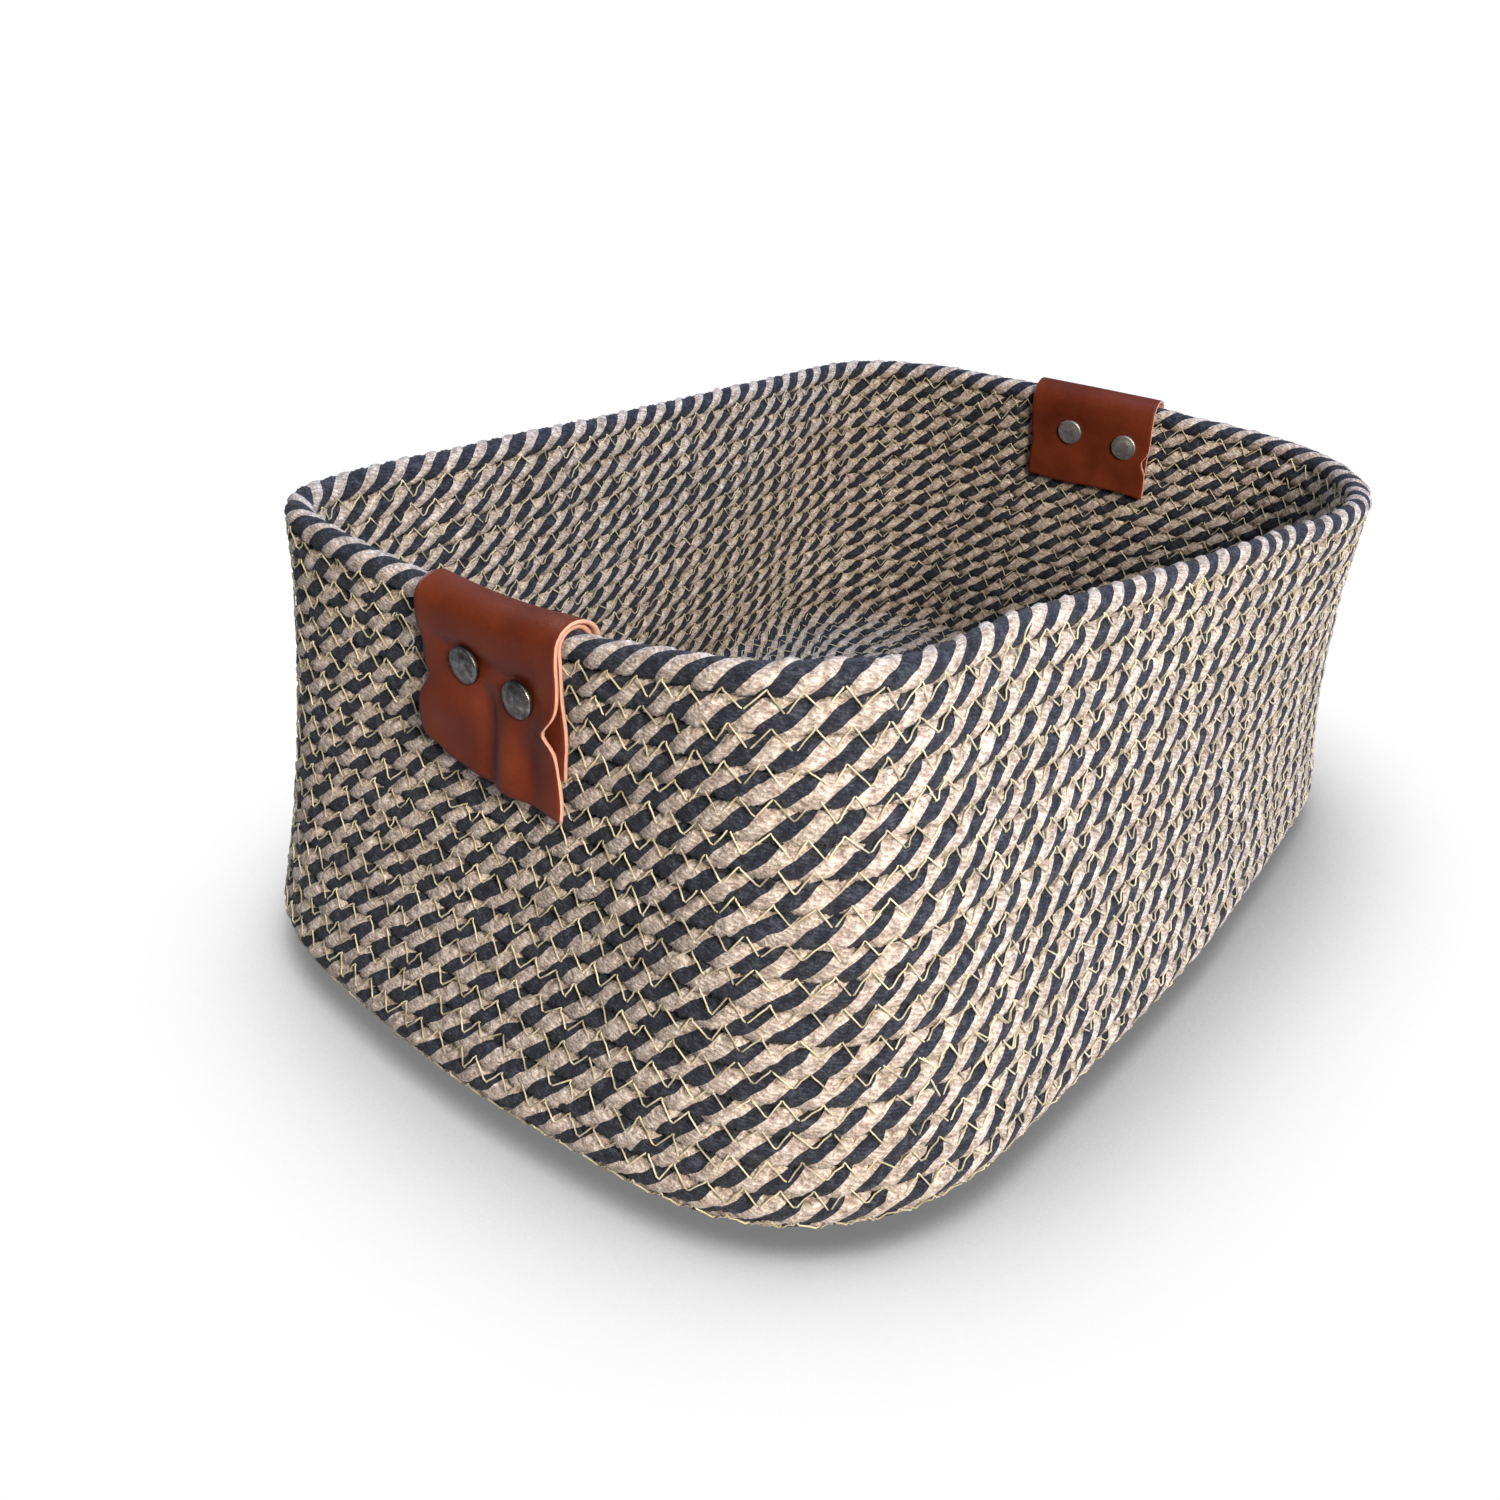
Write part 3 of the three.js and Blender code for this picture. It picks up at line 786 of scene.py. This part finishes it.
def strap_shape(x, y, outside):
    """How far the strap stands off where it is puckered by its rivets."""
    out = -1.1 * bump(y, 11.5 + 0.12 * x, 3.2) * smooth_step(x, -30, -18) * (1 - smooth_step(x, 14, 24))
    out = out - 1.8 * bump(x, -1.5 + 0.08 * (y - 17), 4.0) * smooth_step(y, 12, 24)
    out = out - 1.2 * bump(x, 15 + 0.22 * (y - 30), 5.0) * smooth_step(y, 27, 36)
    out = out + 2.2 * bump(x, -20, 10) * bump(y, 29, 9) + 1.9 * bump(x, 7, 6) * bump(y, 38, 12)
    out = out + 2.6 * bump(x, 30, 7) * bump(y, 23, 6) + 1.8 * bump(x, -30, 6) * bump(y, 34, 10)
    out = out + 1.1 * smooth_step(y, 36, 50) * (0.7 + 0.3 * np.sin(x / 9))
    inn = -0.9 * bump(x, 1, 5) * smooth_step(y, 14, 24) + 0.8 * smooth_step(y, 28, 39) * np.cos(x / 14) ** 2
    inn = inn + 1.5 * bump(x, -22, 8) * bump(y, 28, 8) + 1.7 * bump(x, 24, 8) * bump(y, 27, 8)
    inn = inn + 1.4 * bump(x, -30, 5) * bump(y, 24, 7) - 0.8 * bump(x, 24, 4) * bump(y, 21, 8)
    return 0.7 * bump(y, 4, 5) + np.where(outside, out, inn)


def strap_edge(x, y, outside):
    """The rivets gather the strap, so its side edges are notched beside and below them."""
    left = 3.6 * bump(y, 22, 4.0) + 1.2 * bump(y, 12, 5)
    right = 4.4 * bump(y, 24.5, 4.2) + 1.0 * bump(y, 13, 6)
    right_end = 1.6 * bump(y, 31, 6) - 2.2 * smooth_step(y, 36, 48)
    corner = np.where(x < 0, 5.5 * smooth_step(y, 38, 50), right_end)
    notch = np.where(outside, np.where(x < 0, left, right), np.where(x < 0, 2.6, 0.9) * bump(y, 21, 3.5))
    share = np.abs(x) / 30
    return -np.sign(x) * (notch * share**3 + np.where(outside, corner, 0) * share**4)


def strap_cut(x, outside):
    """The lower edges were cut by hand, so they are a little uneven."""
    out = 0.08 * x - 1.0 + 0.4 * np.sin(x / 6 + 1) - 3.6 * smooth_step(-x, 17, 30)
    return np.where(outside, out, 0.5 * np.sin(x / 7))


def lining_shape(x, y, outside):
    return np.where(outside, 0.9 * bump(x, 29, 6) * bump(y, 34, 9), 0)


def lining_edge(x, y, outside):
    """Outside, the lining's right edge was cut askew and shows beside the strap's."""
    return np.where(outside & (x > 0), 2.6 * smooth_step(y, 12, 30) * (x / 29) ** 3, 0)


def no_cut(*_):
    return 0.0


def leather_material(name, colours, grain, gloss):
    material, tree, shader = new_material(name)
    here = put(tree, "TexCoord").outputs["Object"]
    cells = put(tree, "TexVoronoi", {"feature": "DISTANCE_TO_EDGE"}, Vector=here, Scale=1300.0).outputs[0]
    cloud = noise(tree, here, 45.0, 3.0)
    fine = noise(tree, here, 700.0, 4.0, 0.6)
    tone = maths(tree, "ADD", maths(tree, "MULTIPLY", cloud, 0.75), maths(tree, "MULTIPLY", fine, 0.25))
    base = ramp(tree, tone, [(0.3, colours[0]), (0.5, colours[1]), (0.72, colours[2])])
    tree.links.new(base, shader.inputs["Base Color"])
    rough = ramp(tree, fine, [(0.3, (gloss - 0.06,) * 3), (0.7, (gloss + 0.08,) * 3)])
    tree.links.new(rough, shader.inputs["Roughness"])
    shader.inputs["Specular IOR Level"].default_value = 0.13
    height = maths(tree, "ADD", maths(tree, "MULTIPLY", cells, grain), maths(tree, "MULTIPLY", fine, 0.5))
    set_bump(tree, shader, height, 0.35, 0.25 * MM)
    return material


def build_grips():
    grain = leather_material(
        "leather_grain", [(0.080, 0.0135, 0.005), (0.120, 0.021, 0.0075), (0.17, 0.033, 0.012)], 1.2, 0.46
    )
    flesh = leather_material(
        "leather_flesh", [(0.42, 0.19, 0.12), (0.54, 0.26, 0.17), (0.64, 0.34, 0.23)], 0.3, 0.85
    )
    raw = leather_material(
        "leather_raw_edge", [(0.36, 0.17, 0.115), (0.52, 0.275, 0.195), (0.64, 0.37, 0.275)], 0.3, 0.8
    )
    materials = [grain, flesh, raw]
    for grip in ("left_grip", "right_grip"):
        strap = leather_layer(
            grip + "_leather_strap",
            grip,
            GRIP_WIDTH,
            STRAP_LIFT,
            STRAP_DOWN,
            strap_shape,
            strap_edge,
            strap_cut,
            materials,
        )
        ride(strap, grip + "_strap", slot="strap_leather")
        lining = leather_layer(
            grip + "_leather_lining",
            grip,
            LINING_WIDTH,
            LINING_LIFT,
            LINING_DOWN,
            lining_shape,
            lining_edge,
            no_cut,
            materials,
        )
        ride(lining, grip + "_lining", slot="lining_leather")


# ---- Rivets ----

CAP_R = 6 * MM
CAP_PROFILE = [  # radius as a share of the cap's, and height over its underside
    (0.30, -0.9),
    (0.985, -0.9),
    (1.0, -0.55),
    (1.0, 0.25),
    (0.975, 0.55),
    (0.92, 0.72),
    (0.86, 0.80),
    (0.80, 0.86),
    (0.72, 1.02),
    (0.60, 1.28),
    (0.46, 1.50),
    (0.30, 1.66),
    (0.14, 1.74),
    (0.02, 1.76),
]
CAP_SIDES = 48
CAP_H = 1.8 * MM
DENTS = 9
# Of each dent: distance from the middle, angle, size and depth.
DENT_RANGES = [(0, 0.7), (0, TURN), (0.12, 0.3), (0.06, 0.2)]


def metal_material(name, colours, rough_range):
    material, tree, shader = new_material(name)
    here = put(tree, "TexCoord").outputs["Object"]
    cloud = noise(tree, here, 420.0, 4.0, 0.65)
    fine = noise(tree, here, 2600.0, 3.0, 0.6)
    tone = maths(tree, "ADD", maths(tree, "MULTIPLY", cloud, 0.8), maths(tree, "MULTIPLY", fine, 0.2))
    base = ramp(tree, tone, [(0.36, colours[0]), (0.52, colours[1]), (0.68, colours[2])])
    tree.links.new(base, shader.inputs["Base Color"])
    rough = ramp(tree, tone, [(0.3, (rough_range[0],) * 3), (0.7, (rough_range[1],) * 3)])
    tree.links.new(rough, shader.inputs["Roughness"])
    shader.inputs["Metallic"].default_value = 1.0
    set_bump(tree, shader, tone, 0.5, 0.3 * MM)
    return material


def rivet_cap(name, top, axis, material):
    """A domed cap with a rolled edge and small dents, set into the leather."""
    side = unit(np.cross(axis, [0, 0, 1]))
    other = np.cross(axis, side)
    angles = np.arange(CAP_SIDES) * TURN / CAP_SIDES
    dents = [[rng.uniform(low, high) for low, high in DENT_RANGES] for _ in range(DENTS)]
    foot = top - axis * CAP_H
    rows = []
    for share, height in CAP_PROFILE:
        x, y = share * np.cos(angles), share * np.sin(angles)
        h = np.full(CAP_SIDES, height)
        if height > 0.8:
            for r, a, size, depth in dents:
                away = np.hypot(x - r * np.cos(a), y - r * np.sin(a))
                h = h - depth * np.exp(-((away / size) ** 2))
        ring = foot + (side * x[:, None] + other * y[:, None]) * CAP_R + axis * h[:, None] * MM
        rows.append(ring)
    rows = np.array(rows)
    quads = []
    j = np.arange(CAP_SIDES)
    k = (j + 1) % CAP_SIDES
    for i in range(len(rows) - 1):
        here, above = i * CAP_SIDES, (i + 1) * CAP_SIDES
        quads.append(np.stack([here + j, here + k, above + k, above + j], -1))
    quads = np.concatenate(quads)
    centre = rows[-1].mean(0) + axis * 0.01 * MM
    verts = np.concatenate([rows.reshape(-1, 3), [centre]])
    last = (len(rows) - 1) * CAP_SIDES
    j = np.arange(0, CAP_SIDES, 2)
    lid = np.stack([last + j, last + j + 1, last + (j + 2) % CAP_SIDES, np.full(len(j), len(verts) - 1)], -1)
    return mesh_object(name, verts, np.concatenate([quads, lid]), [material])


def build_rivets():
    # The outer caps get a darker copy of the nickel than the inner caps.
    dark_nickel = metal_material(
        "rivet_nickel_dark", [(0.05, 0.042, 0.036), (0.15, 0.135, 0.12), (0.34, 0.32, 0.29)], (0.5, 0.25)
    )
    light_nickel = metal_material(
        "rivet_nickel", [(0.30, 0.28, 0.26), (0.50, 0.47, 0.44), (0.66, 0.63, 0.60)], (0.55, 0.38)
    )
    for grip in ("left_grip", "right_grip"):
        for number in (1, 2):
            outer, inner, axis = rivet_ends(grip, number)
            for part, top, way, metal in (("post", outer, axis, dark_nickel), ("socket", inner, -axis, light_nickel)):
                cap = rivet_cap(f"{grip}_cap_{number}_{part}", top, way, metal)
                ride(cap, f"{grip}_rivet_{number}_{part}", slot="rivet_metal")


build_rope()
build_sewing()
build_grips()
build_rivets()


# ---- Floor, light and camera ----


CAMERA_AT = (-0.39178, -0.27421, 0.30358)
CAMERA_TURN = (-0.8978, 0.4982, 0.0218)  # yaw, pitch and roll in radians
LENS = 31.285
SHIFT = (-0.0204, -0.0047)


def aim(ob, target):
    ob.rotation_euler = (Vector(target) - ob.location).to_track_quat("-Z", "Y").to_euler()


def area_light(name, place, target, size, power, colour):
    data = bpy.data.lights.new(name, "AREA")
    data.shape = "DISK"
    data.size = size
    data.energy = power
    data.color = colour
    ob = bpy.data.objects.new(name, data)
    ob.location = place
    aim(ob, target)
    bpy.context.scene.collection.objects.link(ob)


def build_stage():
    material, tree, shader = new_material("floor_white_painted_shadow")
    shader.inputs["Roughness"].default_value = 0.9
    # The camera sees no lit floor, only a white glow that ambient occlusion dims where the basket stands
    # close: a painted contact shadow. Other rays see a plain grey floor.
    occlusion = put(tree, "AmbientOcclusion", {"samples": 12}, Distance=0.13).outputs["AO"]
    smooth = {"interpolation_type": "SMOOTHSTEP"}
    glow_with_painted_shadow = put(tree, "MapRange", smooth, _0=occlusion, _1=0.42, _2=0.91, _3=0.2, _4=1.02)
    seen = put(tree, "LightPath").outputs["Is Camera Ray"]
    unseen = maths(tree, "SUBTRACT", 1.0, seen)
    grey = colour_mix(tree, unseen, (0.0, 0.0, 0.0), (0.5, 0.5, 0.5))
    tree.links.new(grey, shader.inputs["Base Color"])
    shader.inputs["Specular IOR Level"].default_value = 0.0
    # Only camera rays get the glow, with its painted shadow.
    tree.links.new(maths(tree, "MULTIPLY", glow_with_painted_shadow.outputs[0], seen), shader.inputs["Emission Strength"])
    shader.inputs["Emission Color"].default_value = (1, 1, 1, 1)
    verts = [(-6, -6, 0), (6, -6, 0), (6, 6, 0), (-6, 6, 0)]
    floor = mesh_object("floor", verts, [(0, 1, 2, 3)], [material])
    world = bpy.context.scene.world or bpy.data.worlds.new("studio")
    bpy.context.scene.world = world
    world.use_nodes = True
    tree = world.node_tree
    background = tree.nodes["Background"]
    way = put(tree, "SeparateXYZ", Vector=put(tree, "TexCoord").outputs["Generated"]).outputs[0]
    from_left = put(tree, "MapRange", _0=way, _1=-0.7, _2=0.7, _3=0.0, _4=1.0).outputs[0]
    warm, neutral, cool = (0.12, 0.112, 0.10), (0.20, 0.225, 0.25), (0.20, 0.265, 0.36)
    around = ramp(tree, from_left, [(0.0, warm), (0.5, neutral), (1.0, cool)])
    seen = put(tree, "LightPath").outputs["Is Camera Ray"]
    seen_white = colour_mix(tree, seen, around, (1.3, 1.3, 1.3))
    tree.links.new(seen_white, background.inputs["Color"])
    background.inputs["Strength"].default_value = 1.0
    area_light("key", (-0.45, -0.80, 0.64), (-0.02, 0, 0.08), 0.4, 17.5, (1.0, 0.92, 0.79))
    area_light("top", (0.25, -0.35, 2.2), (0, 0, 0.08), 1.2, 28, (0.56, 0.80, 1.24))
    area_light("back", (0.2, 1.4, 0.32), (0, 0, 0.08), 0.6, 11, (0.97, 0.98, 1.0))
    area_light("side", (1.6, -1.2, 0.8), (0.1, 0, 0.08), 0.8, 13, (0.36, 0.72, 1.36))


def build_camera():
    yaw, pitch, roll = CAMERA_TURN
    ahead = Vector((-math.sin(yaw) * math.cos(pitch), math.cos(yaw) * math.cos(pitch), -math.sin(pitch)))
    level = Vector((math.cos(yaw), math.sin(yaw), 0))
    above = level.cross(ahead)
    right = level * math.cos(roll) + above * math.sin(roll)
    up = -level * math.sin(roll) + above * math.cos(roll)
    data = bpy.data.cameras.new("camera")
    data.sensor_width = 36
    data.lens = LENS
    data.shift_x, data.shift_y = SHIFT
    data.clip_start = 0.01
    camera = bpy.data.objects.new("camera", data)
    camera.matrix_world = Matrix(
        (
            (right.x, up.x, -ahead.x, CAMERA_AT[0]),
            (right.y, up.y, -ahead.y, CAMERA_AT[1]),
            (right.z, up.z, -ahead.z, CAMERA_AT[2]),
            (0, 0, 0, 1),
        )
    )
    bpy.context.scene.collection.objects.link(camera)
    bpy.context.scene.camera = camera


build_stage()
build_camera()
bpy.context.scene.view_settings.view_transform = "Standard"
